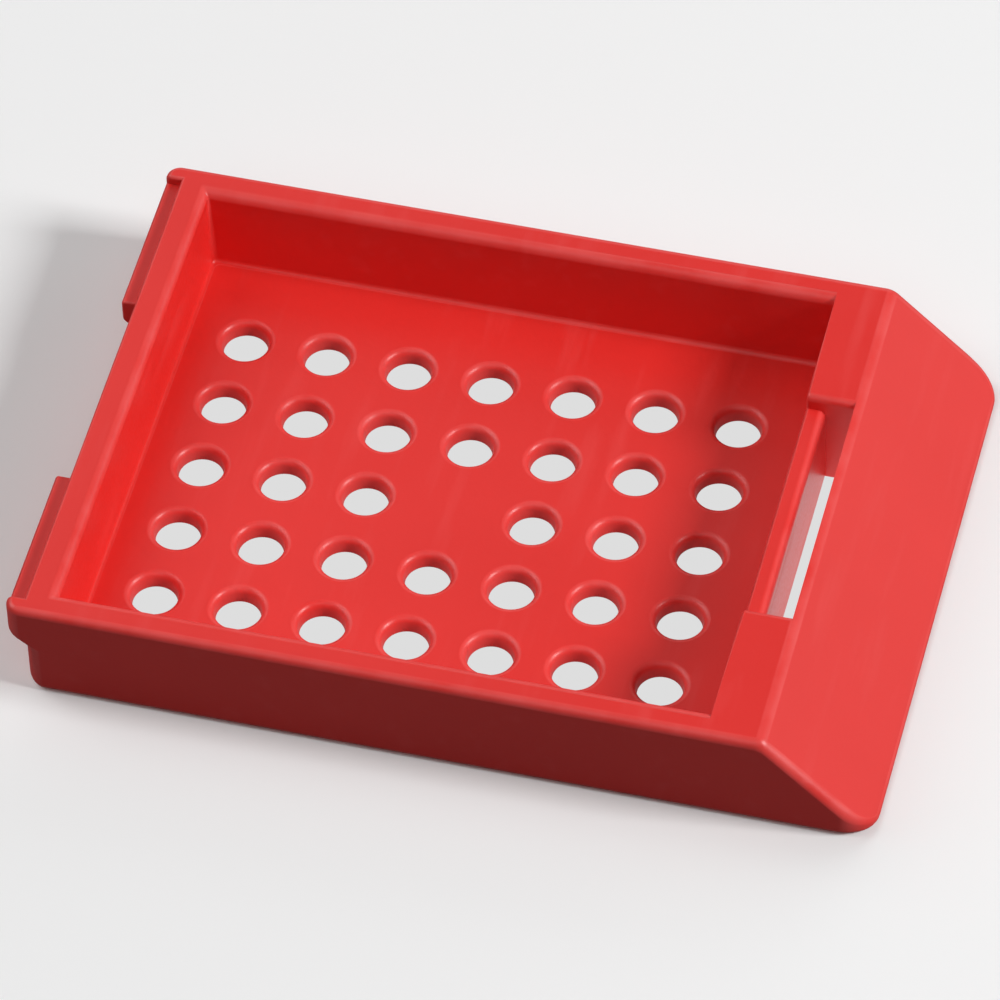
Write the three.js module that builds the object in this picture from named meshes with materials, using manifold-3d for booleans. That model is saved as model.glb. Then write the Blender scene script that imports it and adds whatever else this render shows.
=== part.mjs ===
// Base of a histology tissue cassette: one injection moulding in acetal, a shallow
// tray with a perforated floor, a sloping writing panel at the front and two latch
// lugs at the rear. Millimetres, +Z up. +X runs to the front edge of the writing
// panel, +Y to the left side. The origin is under the middle of the bounding box.
//
// The moulding is first cut as one body. It is then divided along shared planes
// into its walls, floor, ribs and panel, so that each is a simple closed solid.
import * as THREE from 'three';
import { mergeVertices } from 'three/addons/utils/BufferGeometryUtils.js';
import Module from 'manifold-3d';

const wasm = await Module();
wasm.setup();

// Driving dimensions.
const LENGTH = 40.5; // rear lugs to front edge
const WIDTH = 28.4;
const HEIGHT = 5.45;
const SIDE_WALL = 1.5;
const REAR_WALL = 1.45;
const FRONT_WALL = 0.95;
const FLOOR = 0.85;
const DECK = 1.1; // thickness of the deck behind the writing panel
const PANEL_RUN = 1.55; // thickness of the writing panel measured along X, 1.1 square to it
const BIN_LENGTH = 30.5; // inside, at the rim
const NOSE = 0.25; // upright edge at the foot of the writing panel

const HOLE_PITCH = 4;
const HOLE_COLUMNS = 7;
const HOLE_ROWS = 5;
const HOLE_RADIUS = 1.08;
const HOLE_ENTRY = 0.25; // chamfer round the top of each hole
const FIRST_COLUMN = 2.96; // from the rear end of the bin
const HOLE_SIDES = 16;

const LUG_REACH = 0.8; // how far the lugs stand out behind the rear wall
const LUG_DROP = 0.5; // lug top below the rim
const LUG_FOOT = 3; // height at which the lug's underside meets the wall
const LUG_TIP = 3.65; // height of the lug's lower outer edge
const LUG_GAP = 11; // open width between the two lugs
const EAR = 0.9; // rim that wraps round each lug's outer end

const SLOT = 1.38; // width of the latch slot along X
const SLOT_LENGTH = 13.2; // along Y
const NOTCH_DEPTH = 0.8; // latch bar below the rim
const RIB = 1; // rib at each end of the slot

const RIDGE_RADIUS = 0.8;
const EAR_CORNER = 0.7;
const REAR_CORNER = 0.8;
const FRONT_CORNER = 1.6;
const REAR_FOOT_RADIUS = 0.75;
const BIN_FILLET = 0.35; // between the bin's rear wall and its floor
const BIN_CORNER = 0.3; // upright rear corners of the bin
const BIN_DRAFT = 0.08; // how far the rear wall's inside leans in at its foot
const PAST = 1; // overrun of a cutter past the face that it opens
const ARC_STEPS = 6;
const GRID = 1e4; // vertices are rounded to this many steps a millimetre, so that planes agree

// Places worked out from them.
const rear = -LENGTH / 2;
const front = LENGTH / 2;
const side = WIDTH / 2;
const rearFace = rear + LUG_REACH;
const binRear = rearFace + REAR_WALL;
const binFront = binRear + BIN_LENGTH;
const binSide = side - SIDE_WALL;
const slotRear = binFront + FRONT_WALL;
const slotFront = slotRear + SLOT;
const slotSide = SLOT_LENGTH / 2;
const lugInner = LUG_GAP / 2;
const earInner = side - EAR;
const ridge = front - (HEIGHT - NOSE); // where the rim plane meets the 45 degree slope
const deckUnderside = HEIGHT - DECK;
const backOfSlope = front + NOSE - PANEL_RUN; // X where the slope's back meets Z = 0

const plastic = { color: 0xd8393b, roughness: 0.38, metalness: 0 };

// A three.js geometry as a manifold solid.
function solidOf(geometry) {
  geometry.deleteAttribute('normal');
  geometry.deleteAttribute('uv');
  const position = geometry.attributes.position;
  for (let i = 0; i < position.array.length; i += 1) {
    position.array[i] = Math.round(position.array[i] * GRID) / GRID;
  }
  const merged = mergeVertices(geometry, 1e-5);
  const mesh = new wasm.Mesh({
    numProp: 3,
    vertProperties: new Float32Array(merged.attributes.position.array),
    triVerts: new Uint32Array(merged.index.array),
  });
  return new wasm.Manifold(mesh);
}

function box(x, y, z) {
  const geometry = new THREE.BoxGeometry(x[1] - x[0], y[1] - y[0], z[1] - z[0]);
  geometry.translate((x[0] + x[1]) / 2, (y[0] + y[1]) / 2, (z[0] + z[1]) / 2);
  return solidOf(geometry);
}

// An outline in X and Y, raised from one height to another.
function upright(shape, z) {
  const options = { depth: z[1] - z[0], bevelEnabled: false, curveSegments: ARC_STEPS };
  const geometry = new THREE.ExtrudeGeometry(shape, options);
  geometry.translate(0, 0, z[0]);
  return solidOf(geometry);
}

// An outline in X and Z, drawn out across the part from one Y to another.
function across(shape, y) {
  const options = { depth: y[1] - y[0], bevelEnabled: false, curveSegments: ARC_STEPS };
  const geometry = new THREE.ExtrudeGeometry(shape, options);
  geometry.rotateX(Math.PI / 2);
  geometry.translate(0, y[1], 0);
  return solidOf(geometry);
}

function polygon(points) {
  return new THREE.Shape(points.map(([a, b]) => new THREE.Vector2(a, b)));
}

// The same piece on the left and on the right of the middle plane.
function bothSides(makePiece) {
  return makePiece(1).add(makePiece(-1));
}

function span(sign, inner, outer) {
  return sign > 0 ? [inner, outer] : [-outer, -inner];
}

// Plan outline, with one radius at its rear corners and one at its front corners.
function planOutline(x, halfWidth, rearRadius, frontRadius) {
  const shape = new THREE.Shape();
  const quarter = Math.PI / 2;
  if (frontRadius > 0) {
    shape.absarc(x[1] - frontRadius, -halfWidth + frontRadius, frontRadius, -quarter, 0);
    shape.absarc(x[1] - frontRadius, halfWidth - frontRadius, frontRadius, 0, quarter);
  } else {
    shape.moveTo(x[1], -halfWidth);
    shape.lineTo(x[1], halfWidth);
  }
  shape.absarc(x[0] + rearRadius, halfWidth - rearRadius, rearRadius, quarter, 2 * quarter);
  shape.absarc(x[0] + rearRadius, -halfWidth + rearRadius, rearRadius, 2 * quarter, 3 * quarter);
  return shape;
}

// Side view of the whole moulding.
function sideOutline() {
  const shape = new THREE.Shape();
  const eighth = Math.PI / 4;
  const footCentre = rearFace + REAR_FOOT_RADIUS;
  const ridgeCentre = ridge - RIDGE_RADIUS * Math.tan(eighth / 2);
  shape.absarc(footCentre, REAR_FOOT_RADIUS, REAR_FOOT_RADIUS, Math.PI, 6 * eighth);
  shape.lineTo(front, 0);
  shape.lineTo(front, NOSE);
  shape.absarc(ridgeCentre, HEIGHT - RIDGE_RADIUS, RIDGE_RADIUS, eighth, 2 * eighth);
  shape.lineTo(rear, HEIGHT);
  shape.lineTo(rear, LUG_TIP);
  shape.lineTo(rearFace, LUG_FOOT);
  return shape;
}

// The tray's inside: its rear wall leans and meets the floor in a fillet.
function binCutter() {
  const foot = binRear + BIN_DRAFT;
  const profile = new THREE.Shape();
  profile.moveTo(binRear, HEIGHT + PAST);
  profile.lineTo(binRear, HEIGHT);
  profile.absarc(foot + BIN_FILLET, FLOOR + BIN_FILLET, BIN_FILLET, Math.PI, 1.5 * Math.PI);
  profile.lineTo(binFront, FLOOR);
  profile.lineTo(binFront, HEIGHT + PAST);
  const plan = planOutline([binRear, binFront], binSide, BIN_CORNER, 0);
  return across(profile, [-binSide, binSide]).intersect(upright(plan, [0, HEIGHT + PAST]));
}

// Every hole of the floor's grid but the middle one, each with a chamfered entry.
function holeCutters() {
  const profile = polygon([
    [0, -PAST],
    [HOLE_RADIUS, -PAST],
    [HOLE_RADIUS, FLOOR - HOLE_ENTRY],
    [HOLE_RADIUS + HOLE_ENTRY + PAST, FLOOR + PAST],
    [0, FLOOR + PAST],
  ]);
  const middleColumn = (HOLE_COLUMNS - 1) / 2;
  const middleRow = (HOLE_ROWS - 1) / 2;
  const cutters = [];
  for (let column = 0; column < HOLE_COLUMNS; column += 1) {
    for (let row = 0; row < HOLE_ROWS; row += 1) {
      if (column === middleColumn && row === middleRow) continue;
      const geometry = new THREE.LatheGeometry(profile.getPoints(), HOLE_SIDES);
      geometry.rotateX(Math.PI / 2);
      const x = binRear + FIRST_COLUMN + column * HOLE_PITCH;
      geometry.translate(x, (row - middleRow) * HOLE_PITCH, 0);
      cutters.push(solidOf(geometry));
    }
  }
  return cutters;
}

// Section of the hollow under the deck and the writing panel, open underneath.
function hollowOutline(bottom) {
  return polygon([
    [slotRear, bottom],
    [backOfSlope - bottom, bottom],
    [backOfSlope - deckUnderside, deckUnderside],
    [slotRear, deckUnderside],
  ]);
}

// Everything in front of the slot and above the back of the slope.
function panelRegion() {
  const far = front + PAST;
  return across(polygon([
    [slotFront, backOfSlope - slotFront],
    [backOfSlope + PAST, -PAST],
    [far, -PAST],
    [far, HEIGHT + PAST],
    [slotFront, HEIGHT + PAST],
  ]), [-side - PAST, side + PAST]);
}

function mouldedBody() {
  const all = [-PAST, HEIGHT + PAST];
  const lowPlan = planOutline([rearFace, front], side, REAR_CORNER, FRONT_CORNER);
  const highPlan = planOutline([rear, front], side, EAR_CORNER, FRONT_CORNER);
  const plan = upright(lowPlan, [0, LUG_FOOT]).add(upright(highPlan, [LUG_FOOT, HEIGHT]));
  let body = across(sideOutline(), [-side, side]).intersect(plan);

  const behindWall = [rear - PAST, rearFace];
  body = body.subtract(box(behindWall, [-lugInner, lugInner], all));
  const overLug = [HEIGHT - LUG_DROP, HEIGHT + PAST];
  body = body.subtract(bothSides((sign) => box(behindWall, span(sign, lugInner, earInner), overLug)));

  body = body.subtract(binCutter());
  for (const cutter of holeCutters()) body = body.subtract(cutter);

  const slotSpan = [-slotSide, slotSide];
  const overBar = [HEIGHT - NOTCH_DEPTH, HEIGHT + PAST];
  body = body.subtract(box([binFront - PAST, slotFront], slotSpan, overBar));
  body = body.subtract(box([slotRear, slotFront], slotSpan, all));
  body = body.subtract(across(hollowOutline(-PAST), slotSpan));
  const ribOuter = slotSide + RIB;
  return body.subtract(bothSides((sign) => across(hollowOutline(-PAST), span(sign, ribOuter, binSide))));
}

const body = mouldedBody();
const tall = [-PAST, HEIGHT + PAST];
const surroundings = box([-LENGTH, LENGTH], [-WIDTH, WIDTH], [-HEIGHT, 2 * HEIGHT]);

const part = new THREE.Group();
part.name = 'tissue_cassette_base';

// The stretch of the moulding that lies in a region, as a named mesh. Cutting away
// all that is outside the region leaves no skins where a face lies in its boundary.
function addStretch(name, region) {
  const piece = body.subtract(surroundings.subtract(region)).getMesh();
  const geometry = new THREE.BufferGeometry();
  geometry.setAttribute('position', new THREE.BufferAttribute(new Float32Array(piece.vertProperties), 3));
  geometry.setIndex(new THREE.BufferAttribute(new Uint32Array(piece.triVerts), 1));
  geometry.computeVertexNormals();
  const mesh = new THREE.Mesh(geometry, new THREE.MeshStandardMaterial(plastic));
  mesh.name = name;
  part.add(mesh);
}

function addTray() {
  const inner = [-binSide, binSide];
  const filletEnd = binRear + BIN_DRAFT + BIN_FILLET;
  addStretch('perforated_floor', box([filletEnd, binFront], inner, tall));
  addStretch('rear_wall', box([rearFace, filletEnd], inner, tall));
  addStretch('front_wall', box([binFront, slotRear], inner, tall));
  addStretch('writing_panel', panelRegion());
}

// The side wall runs from the ear behind the lug to the foot of the writing panel.
function sideWallRegion(sign) {
  const wall = box([rearFace, front], span(sign, binSide, side + PAST), tall);
  const ear = box([rear - PAST, rearFace], span(sign, earInner, side + PAST), tall);
  return wall.subtract(panelRegion()).add(ear);
}

function addSide(sign, name) {
  const hollow = across(hollowOutline(0), span(sign, slotSide, slotSide + RIB));
  const deck = box([slotRear, slotFront], span(sign, slotSide, binSide), tall);
  addStretch(`${name}_side_wall`, sideWallRegion(sign));
  addStretch(`${name}_rear_lug`, box([rear - PAST, rearFace], span(sign, lugInner, earInner), tall));
  addStretch(`${name}_front_deck`, deck.subtract(hollow));
  addStretch(`${name}_panel_rib`, hollow);
}

addTray();
addSide(1, 'left');
addSide(-1, 'right');

export default part;
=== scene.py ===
"""Looks for a histology tissue cassette base: one red acetal moulding on a pale floor.

Lengths are millimetres until the finished mesh is scaled to metres. The frame is
the CAD model's: +X to the front edge of the writing panel, +Y left, +Z up.
"""

import math

import bmesh
import bpy
from mathutils import Matrix, Vector


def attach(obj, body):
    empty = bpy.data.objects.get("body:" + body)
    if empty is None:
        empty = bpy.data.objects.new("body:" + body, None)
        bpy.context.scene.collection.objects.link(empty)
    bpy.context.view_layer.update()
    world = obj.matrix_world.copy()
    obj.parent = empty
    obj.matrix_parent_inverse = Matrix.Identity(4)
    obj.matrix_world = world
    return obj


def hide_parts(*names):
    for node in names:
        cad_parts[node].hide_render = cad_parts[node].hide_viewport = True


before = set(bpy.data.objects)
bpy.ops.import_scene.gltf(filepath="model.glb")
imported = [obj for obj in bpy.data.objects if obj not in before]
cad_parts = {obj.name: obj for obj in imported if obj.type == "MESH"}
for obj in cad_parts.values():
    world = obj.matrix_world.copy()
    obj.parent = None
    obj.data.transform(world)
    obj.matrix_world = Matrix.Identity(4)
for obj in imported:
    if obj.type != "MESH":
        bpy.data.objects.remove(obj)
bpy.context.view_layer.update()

MM = 0.001

# The moulding, as in the CAD model.
LENGTH = 40.5
WIDTH = 28.4
HEIGHT = 5.45
SIDE_WALL = 1.5
REAR_WALL = 1.45
FRONT_WALL = 0.95
FLOOR = 0.85
DECK = 1.1
PANEL_RUN = 1.55
BIN_LENGTH = 30.5
NOSE = 0.25
HOLE_PITCH = 4
HOLE_COLUMNS = 7
HOLE_ROWS = 5
FIRST_COLUMN = 2.96
LUG_REACH = 0.8
LUG_DROP = 0.5
LUG_FOOT = 3
LUG_TIP = 3.65
LUG_GAP = 11
EAR = 0.9
SLOT = 1.38
NOTCH_DEPTH = 0.8
RIB = 1
RIDGE_RADIUS = 0.8
EAR_CORNER = 0.7
REAR_CORNER = 0.8
FRONT_CORNER = 1.6

# Finer shape than the CAD model holds.
SLOT_LENGTH = 13
REAR_FOOT = 0.75
SIDE_FOOT = 0.4
NOSE_SHARE = 0.36
SIDE_EDGE = 0.36
REAR_EDGE = 0.3
SLOPE_EDGE = 0.55
RIM_EDGE = 0.5
REAR_RIM_EDGE = 0.45
RIDGE_STEPS = 8
LUG_EDGE = 0.35
NOTCH_EDGE = 0.34
BAR_EDGE = 0.4
FOOT_EDGE = 0.12
LUG_SIDE_EDGE = 0.12
LUG_OUTER_EDGE = 0.18
OTHER_EDGE = 0.15
SLOPE_BLEND_START = 1
SLOPE_BLEND_RUN = 1.3
REAR_FILLET = 0.22
SIDE_FILLET = 0.25
BIN_CORNER_TOP = 0.12
BIN_CORNER_FOOT = 0.3
REAR_DRAFT = 0.08
SIDE_DRAFT = 0.1
HOLE_TOP_RADIUS = 1.1
HOLE_FOOT_RADIUS = 1.06
HOLE_ENTRY = 0.36
HOLE_EXIT = 0.06
GRID_OFFSET = -0.08
PAST = 1
ARC_STEPS = 10
HOLE_SIDES = 48

rear = -LENGTH / 2
front = LENGTH / 2
side = WIDTH / 2
rear_face = rear + LUG_REACH
bin_rear = rear_face + REAR_WALL
bin_front = bin_rear + BIN_LENGTH
bin_side = side - SIDE_WALL
slot_rear = bin_front + FRONT_WALL
slot_front = slot_rear + SLOT
slot_side = SLOT_LENGTH / 2
lug_inner = LUG_GAP / 2
ear_inner = side - EAR
ridge = front - (HEIGHT - NOSE)
deck_underside = HEIGHT - DECK
back_of_slope = front + NOSE - PANEL_RUN


def arc(x, y, radius, start, end, steps=ARC_STEPS):
    """Points on a circle, both ends included, angles in degrees."""
    angles = [math.radians(start + (end - start) * i / steps) for i in range(steps + 1)]
    return [(x + radius * math.cos(a), y + radius * math.sin(a)) for a in angles]


def new_object(name, bm):
    bmesh.ops.recalc_face_normals(bm, faces=bm.faces)
    mesh = bpy.data.meshes.new(name)
    bm.to_mesh(mesh)
    bm.free()
    ob = bpy.data.objects.new(name, mesh)
    bpy.context.scene.collection.objects.link(ob)
    return ob


def prism(outline, low, high, place):
    """A closed solid: an outline carried from one level to another."""
    bm = bmesh.new()
    rings = [[bm.verts.new(place(a, b, level)) for a, b in outline] for level in (low, high)]
    count = len(outline)
    for i in range(count):
        j = (i + 1) % count
        bm.faces.new((rings[0][i], rings[0][j], rings[1][j], rings[1][i]))
    bm.faces.new(rings[0])
    bm.faces.new(rings[1])
    return new_object("prism", bm)


def upright(outline, low, high):
    return prism(outline, low, high, lambda x, y, z: (x, y, z))


def across(outline, low, high):
    return prism(outline, low, high, lambda x, z, y: (x, y, z))


def block(x, y, z):
    return upright([(x[0], y[0]), (x[1], y[0]), (x[1], y[1]), (x[0], y[1])], *z)


def span(sign, inner, outer):
    return (inner, outer) if sign > 0 else (-outer, -inner)


def carve(body, tool):
    """Cuts the tool's shape out of the body and removes the tool."""
    step = body.modifiers.new("carve", "BOOLEAN")
    step.operation = "DIFFERENCE"
    step.solver = "EXACT"
    step.object = tool
    apply_modifiers(body)
    bpy.data.objects.remove(tool)


def apply_modifiers(ob):
    bpy.context.view_layer.update()
    depsgraph = bpy.context.evaluated_depsgraph_get()
    shaped = bpy.data.meshes.new_from_object(ob.evaluated_get(depsgraph))
    ob.modifiers.clear()
    old = ob.data
    ob.data = shaped
    bpy.data.meshes.remove(old)


def rounded(points, radii, steps=6):
    """A path through the points, with an arc of the given radius at each inner corner."""
    path = [points[0]]
    for before, corner, after, radius in zip(points, points[1:], points[2:], radii):
        a = Vector(before) - Vector(corner)
        b = Vector(after) - Vector(corner)
        a.normalize()
        b.normalize()
        half = a.angle(b) / 2
        centre = Vector(corner) + (a + b).normalized() * radius / math.sin(half)
        start = Vector(corner) + a * radius / math.tan(half) - centre
        end = Vector(corner) + b * radius / math.tan(half) - centre
        sweep = start.angle(end)
        for i in range(steps + 1):
            part = sweep * i / steps
            spoke = start * math.sin(sweep - part) + end * math.sin(part)
            path.append(tuple(centre + spoke / math.sin(sweep)))
    path.append(points[-1])
    return path


def top_height(x):
    """Height of the rim, the rounded ridge or the sloping panel at a place along X."""
    centre = ridge - RIDGE_RADIUS * math.tan(math.radians(22.5))
    if x <= centre:
        return HEIGHT
    if x <= centre + RIDGE_RADIUS * math.sin(math.radians(45)):
        return HEIGHT - RIDGE_RADIUS + math.sqrt(RIDGE_RADIUS ** 2 - (x - centre) ** 2)
    return front + NOSE - x


def shell_ring(rear_x, corner):
    """Plan of the outer skin at one height, as points with their outward directions."""
    ring = []
    centre = (front - FRONT_CORNER, side - FRONT_CORNER)
    for sign, start in ((-1, -90), (1, 0)):
        ring += [
            (centre[0] + FRONT_CORNER * nx, sign * centre[1] + FRONT_CORNER * ny, nx, ny)
            for nx, ny in arc(0, 0, 1, start, start + 90)
        ]
    ridge_centre = ridge - RIDGE_RADIUS * math.tan(math.radians(22.5))
    bends = [x for x, z in arc(ridge_centre, 0, RIDGE_RADIUS, 45, 90, RIDGE_STEPS)]
    ring += [(x, side, 0, 1) for x in bends]
    for sign, start in ((1, 90), (-1, 180)):
        ring += [
            (rear_x + corner * (1 + nx), sign * (side - corner) + corner * ny, nx, ny)
            for nx, ny in arc(0, 0, 1, start, start + 90)
        ]
    ring += [(x, -side, 0, -1) for x in reversed(bends)]
    return ring


def foot_radius(x, nx):
    """Rounding under the outer skin, wide at the rear and slight at the nose."""
    radius = SIDE_FOOT + (REAR_FOOT - SIDE_FOOT) * max(0, -nx) ** 2
    return min(radius, NOSE_SHARE * (front + NOSE - x))


def rim_radius(x, nx):
    """Rounding along the top of the outer skin, wider beside the slope."""
    radius = SIDE_EDGE + (REAR_EDGE - SIDE_EDGE) * max(0, -nx)
    beside_slope = min(1, max(0, (x - ridge + SLOPE_BLEND_START) / SLOPE_BLEND_RUN))
    radius += (SLOPE_EDGE - SIDE_EDGE) * beside_slope
    return min(radius, NOSE_SHARE * (front + NOSE - x))


def outer_shell():
    """Outer skin with rounded edges above and below, and a lug's profile all along the rear."""
    rings = []
    for dx, dz in arc(0, 0, 1, 270, 180):
        ring = []
        for x, y, nx, ny in shell_ring(rear_face, REAR_CORNER):
            radius = foot_radius(x, nx)
            inset = radius * (1 + dx)
            ring.append((x - nx * inset, y - ny * inset, radius * (1 + dz)))
        rings.append(ring)
    profile = rounded([(rear_face, LUG_FOOT), (rear, LUG_TIP), (rear, HEIGHT)], [LUG_EDGE])
    for rear_x, z in profile[:-1]:
        corner = REAR_CORNER + (EAR_CORNER - REAR_CORNER) * (rear_face - rear_x) / LUG_REACH
        share = (z - REAR_FOOT) / (HEIGHT - REAR_EDGE - REAR_FOOT)
        ring = []
        for x, y, nx, ny in shell_ring(rear_x, corner):
            low = foot_radius(x, nx)
            high = top_height(x) - rim_radius(x, nx)
            ring.append((x, y, low + share * (high - low)))
        rings.append(ring)
    for dx, dz in arc(0, 0, 1, 180, 90):
        ring = []
        for x, y, nx, ny in shell_ring(rear, EAR_CORNER):
            radius = rim_radius(x, nx)
            inset = radius * (1 + dx)
            height = top_height(x - nx * inset) - radius * (1 - dz)
            ring.append((x - nx * inset, y - ny * inset, height))
        rings.append(ring)
    bm = bmesh.new()
    rings = [[bm.verts.new(point) for point in ring] for ring in rings]
    sides(bm, rings)
    bm.faces.new(rings[0])
    # The top is closed by the writing panel, one strip per step of the ridge, and the rim plane.
    left = 2 * (ARC_STEPS + 1)
    right = left + RIDGE_STEPS + 2 * (ARC_STEPS + 1)
    top = rings[-1]
    bm.faces.new(top[:left + 1] + top[-1:])
    for i in range(RIDGE_STEPS):
        bm.faces.new((top[left + i], top[left + i + 1], top[-2 - i], top[-1 - i]))
    bm.faces.new(top[left + RIDGE_STEPS:right + 2])
    return new_object("shell", bm)


def sides(bm, rings):
    count = len(rings[0])
    for low, high in zip(rings, rings[1:]):
        for i in range(count):
            j = (i + 1) % count
            bm.faces.new((low[i], low[j], high[j], high[i]))


def skin(bm, rings):
    """Side faces between rings of equal count, and a cap on the first and the last."""
    sides(bm, rings)
    bm.faces.new(rings[0])
    bm.faces.new(rings[-1])


def bin_ring(rear_inset, side_inset, corner, rear_z, side_z):
    """One level of the tray's inside, whose height may differ between rear and sides."""
    x_rear = bin_rear + rear_inset
    y_side = bin_side - side_inset
    ring = [(bin_front, -y_side, side_z), (bin_front, y_side, side_z)]
    for sign, start in ((1, 90), (-1, 180)):
        for nx, ny in arc(0, 0, 1, start, start + 90):
            z = side_z + (rear_z - side_z) * nx ** 2
            ring.append((x_rear + corner * (1 + nx), sign * (y_side - corner) + corner * ny, z))
    return ring


def bin_tool():
    """The tray's inside: leaning walls, and a fillet to the floor that widens at the rear."""
    rings = [bin_ring(-REAR_RIM_EDGE, -RIM_EDGE, BIN_CORNER_TOP, HEIGHT + PAST, HEIGHT + PAST)]
    for x, z in arc(0, 0, 1, 90, 180, 6):
        rings.append(bin_ring(
            -REAR_RIM_EDGE * (1 + x),
            -RIM_EDGE * (1 + x),
            BIN_CORNER_TOP,
            HEIGHT - REAR_RIM_EDGE * (1 - z),
            HEIGHT - RIM_EDGE * (1 - z),
        ))
    for x, z in arc(0, 0, 1, 180, 270):
        rings.append(bin_ring(
            REAR_DRAFT + REAR_FILLET * (1 + x),
            SIDE_DRAFT + SIDE_FILLET * (1 + x),
            BIN_CORNER_FOOT,
            FLOOR + REAR_FILLET * (1 + z),
            FLOOR + SIDE_FILLET * (1 + z),
        ))
    bm = bmesh.new()
    skin(bm, [[bm.verts.new(point) for point in ring] for ring in rings])
    return new_object("bin", bm)


def holes_tool():
    """Every hole of the floor's grid but the middle one, each with a rounded entry."""
    profile = [(HOLE_FOOT_RADIUS + HOLE_EXIT, -PAST)]
    profile += [
        (HOLE_FOOT_RADIUS + HOLE_EXIT + a, HOLE_EXIT + b)
        for a, b in arc(0, 0, HOLE_EXIT, 270, 180, 4)
    ]
    profile += [
        (HOLE_TOP_RADIUS + HOLE_ENTRY + a, FLOOR - HOLE_ENTRY + b)
        for a, b in arc(0, 0, HOLE_ENTRY, 180, 90, 6)
    ]
    profile += [(HOLE_TOP_RADIUS + HOLE_ENTRY, FLOOR + PAST)]
    bm = bmesh.new()
    for column in range(HOLE_COLUMNS):
        for row in range(HOLE_ROWS):
            if (column, row) == (HOLE_COLUMNS // 2, HOLE_ROWS // 2):
                continue
            x = bin_rear + FIRST_COLUMN + column * HOLE_PITCH
            y = GRID_OFFSET + (row - HOLE_ROWS // 2) * HOLE_PITCH
            rings = []
            for radius, z in profile:
                circle = arc(x, y, radius, 0, 360, HOLE_SIDES)[:-1]
                rings.append([bm.verts.new((a, b, z)) for a, b in circle])
            skin(bm, rings)
    return new_object("holes", bm)


def notch_tool():
    """The latch notch over the bar, its upper edges rounded at both ends."""
    levels = [(NOTCH_EDGE, HEIGHT + PAST)]
    levels += [
        (NOTCH_EDGE * (1 + a), HEIGHT - NOTCH_EDGE * (1 - b))
        for a, b in arc(0, 0, 1, 90, 180, 6)
    ]
    levels += [(0, HEIGHT - NOTCH_DEPTH)]
    section = [(slot_side + flare, z) for flare, z in levels]
    section += [(-y, z) for y, z in reversed(section)]
    return prism(section, bin_front - PAST, slot_front, lambda y, z, x: (x, y, z))


def hollow_outline():
    return [
        (slot_rear, -PAST),
        (back_of_slope + PAST, -PAST),
        (back_of_slope - deck_underside, deck_underside),
        (slot_rear, deck_underside),
    ]


def sharp_body():
    tall = (-PAST, HEIGHT + PAST)
    body = outer_shell()
    behind = (rear - PAST, rear_face)
    over_lug = (HEIGHT - LUG_DROP, HEIGHT + PAST)
    between_lugs = (-lug_inner, lug_inner)
    carve(body, block(behind, between_lugs, (LUG_FOOT - PAST, HEIGHT + PAST)))
    for sign in (1, -1):
        carve(body, block(behind, span(sign, lug_inner, ear_inner), over_lug))
    carve(body, bin_tool())
    carve(body, holes_tool())
    slot_span = (-slot_side, slot_side)
    carve(body, notch_tool())
    carve(body, block((slot_rear, slot_front), slot_span, tall))
    carve(body, across(hollow_outline(), *slot_span))
    rib_outer = slot_side + RIB
    for sign in (1, -1):
        carve(body, across(hollow_outline(), *span(sign, rib_outer, bin_side)))
    return body


NEAR = 0.02
SHARP_TURN = math.radians(25)


def near(a, b):
    return abs(a - b) < NEAR


def edge_radius(middle):
    """Rounding radius of an edge that the tools leave sharp, from where it is."""
    x, y, z = middle
    if near(z, 0):
        return FOOT_EDGE
    if x < rear_face + NEAR:
        return LUG_SIDE_EDGE if near(abs(y), lug_inner) else LUG_OUTER_EDGE
    if near(z, HEIGHT - NOTCH_DEPTH) and near(x, slot_rear):
        return BAR_EDGE
    if near(x, slot_front) and z > HEIGHT - NOTCH_DEPTH:
        return 0
    return OTHER_EDGE


def round_edges(body):
    bm = bmesh.new()
    bm.from_mesh(body.data)
    bmesh.ops.remove_doubles(bm, verts=bm.verts, dist=1e-4)
    bmesh.ops.dissolve_limit(bm, angle_limit=math.radians(0.5), verts=bm.verts, edges=bm.edges)
    weights = bm.edges.layers.float.new("bevel_weight_edge")
    for edge in bm.edges:
        if len(edge.link_faces) != 2:
            continue
        turn = edge.calc_face_angle_signed()
        if turn < SHARP_TURN:
            continue
        middle = (edge.verts[0].co + edge.verts[1].co) / 2
        edge[weights] = edge_radius(middle)
    bm.to_mesh(body.data)
    bm.free()
    bevel = body.modifiers.new("round", "BEVEL")
    bevel.limit_method = "WEIGHT"
    bevel.offset_type = "OFFSET"
    bevel.width = 1
    bevel.segments = 4
    bevel.profile = 0.5
    bevel.use_clamp_overlap = False
    bevel.loop_slide = False
    apply_modifiers(body)


SMOOTH_LIMIT = math.cos(math.radians(40))  # sharper edges than this stay sharp
WIDEST_STRIP = 0.3


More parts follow.
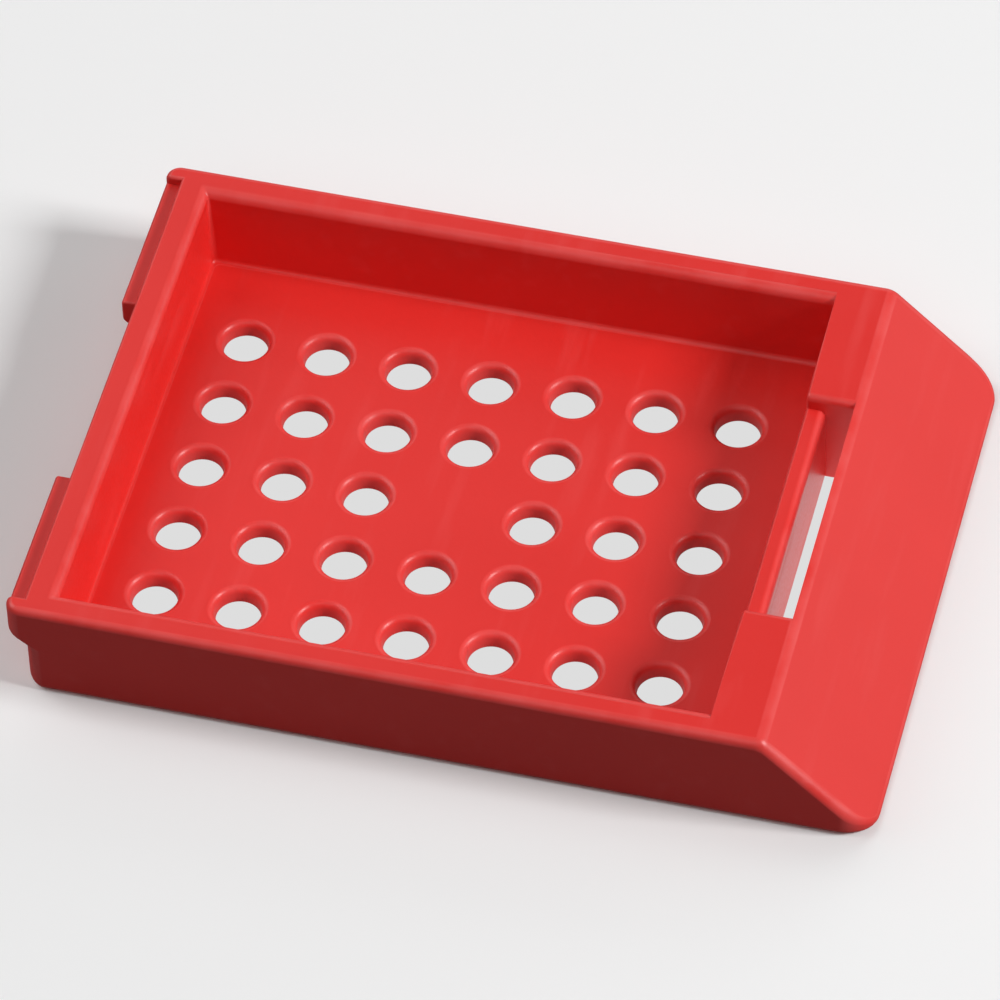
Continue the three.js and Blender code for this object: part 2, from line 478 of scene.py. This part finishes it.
def set_normals(mesh):
    """Flat faces keep their own normal, and the rounded strips between them turn smoothly.

    The edge attribute is 1 along the middle of each rounded edge, and 0 where it meets a
    flat face and in the fillets, so that the material can paint those edges paler, partly as
    wear and partly as a painted highlight.
    """
    bm = bmesh.new()
    bm.from_mesh(mesh)
    flat = {f.index for f in bm.faces if is_flat(f)}
    normals = []
    edges = []
    for face in bm.faces:
        for loop in face.loops:
            if face.index in flat:
                normals.append(face.normal)
                edges.append(0)
                continue
            flats = []
            curved = Vector()
            for other in loop.vert.link_faces:
                if other.normal.dot(face.normal) < SMOOTH_LIMIT:
                    continue
                if other.index in flat:
                    flats.append(other.normal)
                else:
                    angle = next(l for l in other.loops if l.vert is loop.vert).calc_angle()
                    curved += other.normal * angle
            if flats:
                curved = sum(flats, Vector())
            normals.append(curved.normalized())
            edges.append(0 if flats or in_fillet(loop.vert.co) else 1)
    bm.free()
    mesh.shade_smooth()
    mesh.normals_split_custom_set(normals)
    attribute = mesh.attributes.new("edge", "FLOAT_COLOR", "CORNER")
    attribute.data.foreach_set("color", [channel for e in edges for channel in (e, e, e, 1)])


def in_fillet(place):
    """True low in the tray, where its walls meet the floor."""
    inside = bin_rear < place.x < bin_front and abs(place.y) < bin_side
    return inside and FLOOR + NEAR / 2 < place.z < HEIGHT / 2


def is_flat(face):
    """A face on a plane of the moulding, and not one strip of a rounding."""
    n = face.normal
    level = max(abs(n.x), abs(n.y), abs(n.z)) > 0.99999
    sloped = abs(n.x - n.z) < 1e-4 and n.x > 0.7
    return level or sloped or 2 * face.calc_area() / face.calc_perimeter() > WIDEST_STRIP


moulding = sharp_body()
round_edges(moulding)
moulding.name = "moulding"
set_normals(moulding.data)
moulding.data.transform(Matrix.Scale(MM, 4))

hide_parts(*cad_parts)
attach(moulding, "root")


def node(material, kind, **settings):
    """A new shader node; a setting names an attribute of the node, or else an input."""
    made = material.node_tree.nodes.new(kind)
    for name, value in settings.items():
        if hasattr(made, name):
            setattr(made, name, value)
        else:
            made.inputs[name.replace("_", " ").title()].default_value = value
    return made


def join(material, output, entry):
    material.node_tree.links.new(output, entry)


def noise(material, scale, detail, stretch=(1, 1, 1)):
    """Noise in the moulding's own space, with features about 1 / scale metres across."""
    nodes = material.node_tree.nodes
    place = nodes.get("place") or node(material, "ShaderNodeTexCoord", name="place")
    stretched = node(material, "ShaderNodeMapping", Scale=stretch)
    join(material, place.outputs["Object"], stretched.inputs["Vector"])
    texture = node(material, "ShaderNodeTexNoise", Scale=scale, Detail=detail)
    join(material, stretched.outputs["Vector"], texture.inputs["Vector"])
    return texture.outputs["Fac"]


def remap(material, value, low, high, to_low, to_high):
    """The value carried from one range to another, and held inside it."""
    mapped = node(
        material,
        "ShaderNodeMapRange",
        From_Min=low,
        From_Max=high,
        To_Min=to_low,
        To_Max=to_high,
    )
    join(material, value, mapped.inputs["Value"])
    return mapped.outputs["Result"]


def product(material, a, b):
    times = node(material, "ShaderNodeMath", operation="MULTIPLY")
    join(material, a, times.inputs[0])
    join(material, b, times.inputs[1])
    return times.outputs["Value"]


def total(material, a, b):
    plus = node(material, "ShaderNodeMath", operation="ADD")
    join(material, a, plus.inputs[0])
    join(material, b, plus.inputs[1])
    return plus.outputs["Value"]


def blend(material, factor, first, second):
    """Mix of two colours; each is a plain colour or the output of another node."""
    mixed = node(material, "ShaderNodeMix", data_type="RGBA")
    join(material, factor, mixed.inputs["Factor"])
    for name, colour in (("A", first), ("B", second)):
        entry = next(i for i in mixed.inputs if i.name == name and i.type == "RGBA")
        if isinstance(colour, tuple):
            entry.default_value = (*colour, 1)
        else:
            join(material, colour, entry)
    return next(o for o in mixed.outputs if o.type == "RGBA")


RED = (0.81, 0.030, 0.025)
DEEP_RED = (0.74, 0.022, 0.017)
# Paler red for scuffs and worn edges; on the rounded edges it is also a painted highlight.
PALE_WEAR_AND_HIGHLIGHT_RED = (0.86, 0.090, 0.084)


def plastic_material():
    """Red acetal: slow flow shades, a spark-eroded grain, handling scuffs, and rounded edges
    painted paler, partly as wear and partly as a painted highlight.
    """
    material = bpy.data.materials.new("red_acetal")
    material.use_nodes = True
    shader = material.node_tree.nodes["Principled BSDF"]
    shader.inputs["IOR"].default_value = 1.48

    flow = remap(material, noise(material, 110, 3, (0.5, 1, 1)), 0.35, 0.7, 0, 1)
    grain = noise(material, 5200, 2)
    scuffs = remap(material, noise(material, 900, 4, (1, 0.12, 1)), 0.56, 0.72, 0, 1)
    # Rounded edges get a paler colour that is partly wear and partly a painted highlight.
    worn_and_highlit = node(material, "ShaderNodeAttribute", attribute_name="edge").outputs["Fac"]
    patchy = remap(material, noise(material, 480, 3), 0.3, 0.65, 0.35, 1)
    worn_and_highlit = product(material, worn_and_highlit, patchy)

    colour = blend(material, remap(material, flow, 0, 1, 0, 0.55), RED, DEEP_RED)
    # Painted highlight and wear along the rounded edges.
    colour = blend(material, remap(material, worn_and_highlit, 0, 1, 0, 0.7), colour, PALE_WEAR_AND_HIGHLIGHT_RED)
    colour = blend(material, remap(material, scuffs, 0, 1, 0, 0.2), colour, PALE_WEAR_AND_HIGHLIGHT_RED)
    join(material, colour, shader.inputs["Base Color"])

    roughness = total(
        material,
        remap(material, grain, 0.3, 0.7, 0.31, 0.39),
        remap(material, scuffs, 0, 1, 0, 0.1),
    )
    roughness = total(material, roughness, remap(material, worn_and_highlit, 0, 1, 0, 0.06))
    join(material, roughness, shader.inputs["Roughness"])

    ripple = node(material, "ShaderNodeBump", Strength=0.25, Distance=0.00012)
    join(material, flow, ripple.inputs["Height"])
    pits = node(material, "ShaderNodeBump", Strength=0.45, Distance=0.000012)
    join(material, grain, pits.inputs["Height"])
    join(material, ripple.outputs["Normal"], pits.inputs["Normal"])
    join(material, pits.outputs["Normal"], shader.inputs["Normal"])
    return material


moulding.data.materials.clear()
moulding.data.materials.append(plastic_material())


FLOOR_SEEN = (0.92, 0.92, 0.92, 1)
FLOOR_BOUNCE = (0.2, 0.2, 0.2, 1)
PAD_CENTRE = 0.3
PAD_HALF_LENGTH = 18.5
PAD_HALF_WIDTH = 13.3
PAD_GLOW = 0.73
BIN_BOUNCE = 0.18
SLOT_BOUNCE = 0.85
BACKDROP = (0.82, 0.82, 0.82, 1)
FLOOR_GAP = 0.02


def shader_mix(material, factor, first, second):
    """The first shader where the factor is 0, and the second where it is 1."""
    mixed = node(material, "ShaderNodeMixShader")
    join(material, factor, mixed.inputs[0])
    join(material, first.outputs[0], mixed.inputs[1])
    join(material, second.outputs[0], mixed.inputs[2])
    return mixed


def pad_mask(material, axes):
    """1 over the light pad's rectangle and 0 elsewhere."""
    inside = []
    for axis, centre, half in (("X", PAD_CENTRE, PAD_HALF_LENGTH), ("Y", 0, PAD_HALF_WIDTH)):
        within = node(material, "ShaderNodeMath", operation="COMPARE")
        join(material, axes.outputs[axis], within.inputs[0])
        within.inputs[1].default_value = centre * MM
        within.inputs[2].default_value = half * MM
        inside.append(within.outputs[0])
    return product(material, *inside)


def pad_shader(material, axes, ray):
    """The pad's glow, which throws most of its light up the slot and little up the holes."""
    front_wall = (bin_front * MM, slot_rear * MM)
    thrown = remap(material, axes.outputs["X"], *front_wall, BIN_BOUNCE, SLOT_BOUNCE)
    glow = remap(material, ray.outputs["Is Camera Ray"], 0, 1, BIN_BOUNCE, PAD_GLOW)
    join(material, thrown, glow.node.inputs["To Min"])
    pad = node(material, "ShaderNodeEmission", Color=(1, 1, 1, 1))
    join(material, glow, pad.inputs["Strength"])
    return pad


def floor_material():
    """Pale to the camera, though it throws less light back on the part than it shows.

    A light pad under the part shows through its holes and slot. The floor is clear from
    below and to the light under it, so that the underside can be seen.
    """
    material = bpy.data.materials.new("pale_floor")
    material.use_nodes = True
    nodes = material.node_tree.nodes
    ray = node(material, "ShaderNodeLightPath")
    place = node(material, "ShaderNodeNewGeometry")
    axes = node(material, "ShaderNodeSeparateXYZ")
    join(material, place.outputs["Position"], axes.inputs[0])

    seen = nodes["Principled BSDF"]
    seen.inputs["Base Color"].default_value = FLOOR_SEEN
    seen.inputs["Roughness"].default_value = 0.8
    seen.inputs["Specular IOR Level"].default_value = 0.1
    bounce = node(material, "ShaderNodeBsdfDiffuse", Color=FLOOR_BOUNCE)
    surface = shader_mix(material, ray.outputs["Is Camera Ray"], bounce, seen)
    pad = pad_shader(material, axes, ray)
    surface = shader_mix(material, pad_mask(material, axes), surface, pad)
    hidden = total(material, place.outputs["Backfacing"], ray.outputs["Is Shadow Ray"])
    clear = node(material, "ShaderNodeBsdfTransparent")
    surface = shader_mix(material, hidden, surface, clear)
    join(material, surface.outputs[0], nodes["Material Output"].inputs["Surface"])
    return material


def make_floor():
    bm = bmesh.new()
    bmesh.ops.create_grid(bm, x_segments=2, y_segments=2, size=1.0)
    bmesh.ops.translate(bm, verts=bm.verts, vec=(0, 0, -FLOOR_GAP * MM))
    ob = new_object("floor", bm)
    ob.data.flip_normals()  # so that its front is its top
    ob.data.materials.append(floor_material())


make_floor()


def make_camera():
    azimuth, elevation, roll = (math.radians(a) for a in (15.483, 49.390, -1.874))
    target = Vector((-1.0355, 1.6988, 0)) * MM
    distance = 370.344 * MM
    forward = Vector((
        -math.sin(azimuth) * math.cos(elevation),
        math.cos(azimuth) * math.cos(elevation),
        -math.sin(elevation),
    ))
    right = forward.cross(Vector((0, 0, 1))).normalized()
    up = right.cross(forward)
    turned_right = right * math.cos(roll) + up * math.sin(roll)
    turned_up = up * math.cos(roll) - right * math.sin(roll)
    data = bpy.data.cameras.new("camera")
    data.lens = 285.12
    data.sensor_width = 36
    data.clip_start = 0.01
    data.clip_end = 10
    camera = bpy.data.objects.new("camera", data)
    bpy.context.scene.collection.objects.link(camera)
    turn = Matrix((turned_right, turned_up, -forward)).transposed().to_4x4()
    camera.matrix_world = Matrix.Translation(target - forward * distance) @ turn
    bpy.context.scene.camera = camera


make_camera()


def area_light(name, azimuth, elevation, distance, size, power):
    """A square soft light aimed at the part; azimuth is measured from +X towards +Y."""
    data = bpy.data.lights.new(name, "AREA")
    data.shape = "SQUARE"
    data.size = size
    data.energy = power
    ob = bpy.data.objects.new(name, data)
    bpy.context.scene.collection.objects.link(ob)
    a = math.radians(azimuth)
    e = math.radians(elevation)
    towards = Vector((math.cos(a) * math.cos(e), math.sin(a) * math.cos(e), math.sin(e)))
    turn = towards.to_track_quat("Z", "Y").to_matrix().to_4x4()
    ob.matrix_world = Matrix.Translation(towards * distance) @ turn


area_light("key", 0, 36, 0.5, 0.14, 1.95)
area_light("left", 42, 12, 0.4, 0.25, 0.18)
area_light("behind", 90, 22, 0.5, 0.3, 0.27)
area_light("behind_left", 135, 45, 0.5, 0.35, 0.32)
area_light("rear", 180, 45, 0.5, 0.35, 1.0)
area_light("right", -90, 55, 0.6, 0.4, 0.5)
area_light("below", 100, -50, 0.5, 0.4, 1.0)

def make_world():
    """A pale backdrop above the floor, which the camera sees and which lights nothing."""
    world = bpy.data.worlds.new("studio")
    bpy.context.scene.world = world
    world.use_nodes = True
    nodes = world.node_tree.nodes
    backdrop = nodes["Background"]
    backdrop.inputs["Color"].default_value = BACKDROP
    ray = nodes.new("ShaderNodeLightPath")
    world.node_tree.links.new(ray.outputs["Is Camera Ray"], backdrop.inputs["Strength"])


make_world()
bpy.context.scene.view_settings.view_transform = "Standard"
